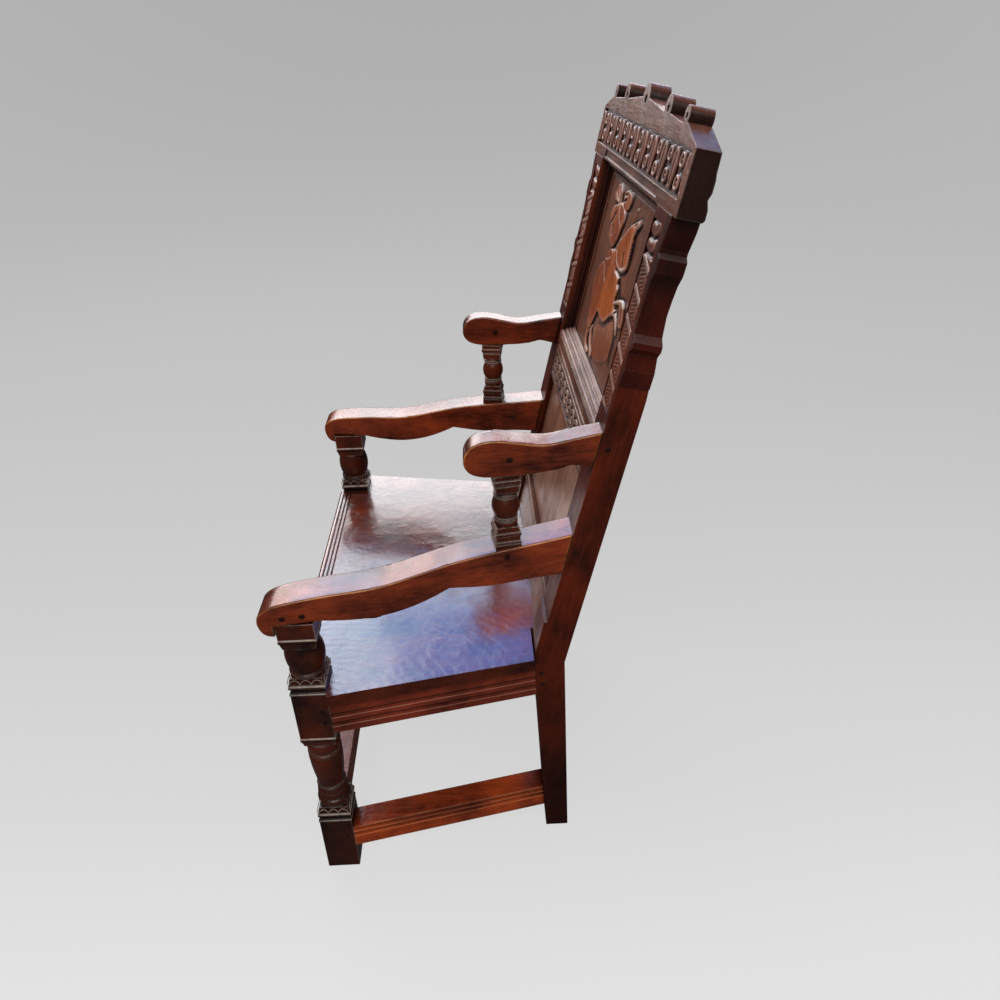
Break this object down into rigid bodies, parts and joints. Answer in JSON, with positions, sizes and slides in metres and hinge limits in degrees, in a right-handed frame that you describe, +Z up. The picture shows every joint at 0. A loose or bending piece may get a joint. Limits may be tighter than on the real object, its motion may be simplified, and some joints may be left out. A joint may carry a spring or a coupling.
{
  "type": "wainscot armchair",
  "caption": "Joined oak armchair with a tall raked panelled back, a crest rail with turned-up scrolls, stacked tiers of shaped arms on turned posts and a boarded seat over a railed frame.",
  "frame": {"origin": "At floor height under the middle of the whole chair's bounding box", "axes": "+X to the sitter's left, +Y to the rear of the chair, +Z up; the front faces -Y"},
  "size_m": [0.6682, 0.598, 1.2191],
  "materials": {
    "post_oak": "near-black waxed oak, worn grey-brown on the turned edges",
    "stile_oak": "deep red-brown waxed oak, greyer on the carved front",
    "ear_oak": "deep red-brown waxed oak",
    "crest_oak": "grey-brown waxed oak with dark recesses",
    "upper_panel_oak": "brown waxed oak, orange-brown where the carving is worn",
    "moulding_oak": "red-brown waxed oak, near black in the hollows",
    "back_rail_oak": "grey-brown waxed oak with red-brown recesses",
    "lower_panel_oak": "beige-brown waxed oak, rubbed smooth",
    "arm_oak": "glossy red-brown waxed oak with golden worn edges",
    "seat_oak": "polished red-brown oak boards with faint cathedral grain",
    "seat_rail_oak": "deep red-brown waxed oak",
    "stretcher_oak": "orange-brown waxed oak",
    "peg_oak": "dark oak pegs, cut nearly flush"
  },
  "bodies": {
    "root": {"front_post_left": "post_oak", "front_post_right": "post_oak", "rear_stile_left": "stile_oak", "rear_stile_right": "stile_oak", "ear_piece_left": "ear_oak", "ear_piece_right": "ear_oak", "crest_rail": "crest_oak", "upper_panel": "upper_panel_oak", "panel_moulding_left": "moulding_oak", "panel_moulding_right": "moulding_oak", "panel_moulding_top": "moulding_oak", "back_mid_rail": "back_rail_oak", "lower_panel": "lower_panel_oak", "back_bottom_rail": "back_rail_oak", "lower_arm_left": "arm_oak", "lower_arm_right": "arm_oak", "upper_arm_left": "arm_oak", "upper_arm_right": "arm_oak", "arm_baluster_left": "post_oak", "arm_baluster_right": "post_oak", "seat_board": "seat_oak", "front_seat_rail": "seat_rail_oak", "rear_seat_rail": "seat_rail_oak", "side_seat_rail_left": "seat_rail_oak", "side_seat_rail_right": "seat_rail_oak", "front_stretcher": "stretcher_oak", "rear_stretcher": "stretcher_oak", "side_stretcher_left": "stretcher_oak", "side_stretcher_right": "stretcher_oak", "seat_frame_pegs": "peg_oak", "stretcher_pegs": "peg_oak", "lower_arm_pegs": "peg_oak", "upper_arm_pegs": "peg_oak", "stile_pegs": "peg_oak"}
  },
  "joints": []
}
